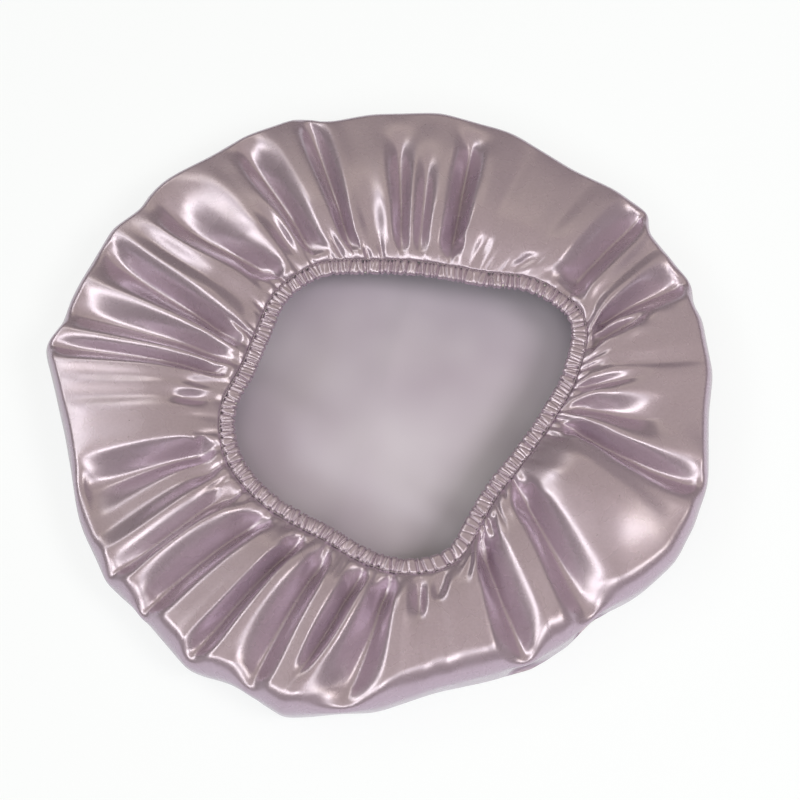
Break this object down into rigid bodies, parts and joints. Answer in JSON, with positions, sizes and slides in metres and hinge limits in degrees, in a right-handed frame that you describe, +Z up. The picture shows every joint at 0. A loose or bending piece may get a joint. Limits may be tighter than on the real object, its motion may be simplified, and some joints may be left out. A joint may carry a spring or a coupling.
{
  "type": "satin hair bonnet",
  "caption": "Soft round satin cap lying on its crown, its edge gathered in folds to an elastic mouth that opens upwards to take the head and hair.",
  "frame": {"origin": "on the table, under the middle of the bonnet's outline", "axes": "+Z up out of the mouth, +Y towards the far side of the bonnet as pictured"},
  "size_m": [0.33, 0.3248, 0.0459],
  "materials": {
    "satin": "lilac satin, glossy outside and matt on the reverse",
    "elastic": "woven elastic",
    "thread": "spun sewing thread"
  },
  "bodies": {
    "crown": {"crown": "satin"},
    "rim": {"hem_casing": "satin", "elastic_band": "elastic", "elastic_join_thread": "thread", "hem_needle_thread": "thread", "hem_bobbin_thread": "thread"}
  },
  "joints": [
    {"name": "mouth_lift", "type": "slide", "parent": "crown", "child": "rim", "axis": [0, 0, 1], "range_m": [0, 0.03], "deforming": ["crown"]}
  ]
}
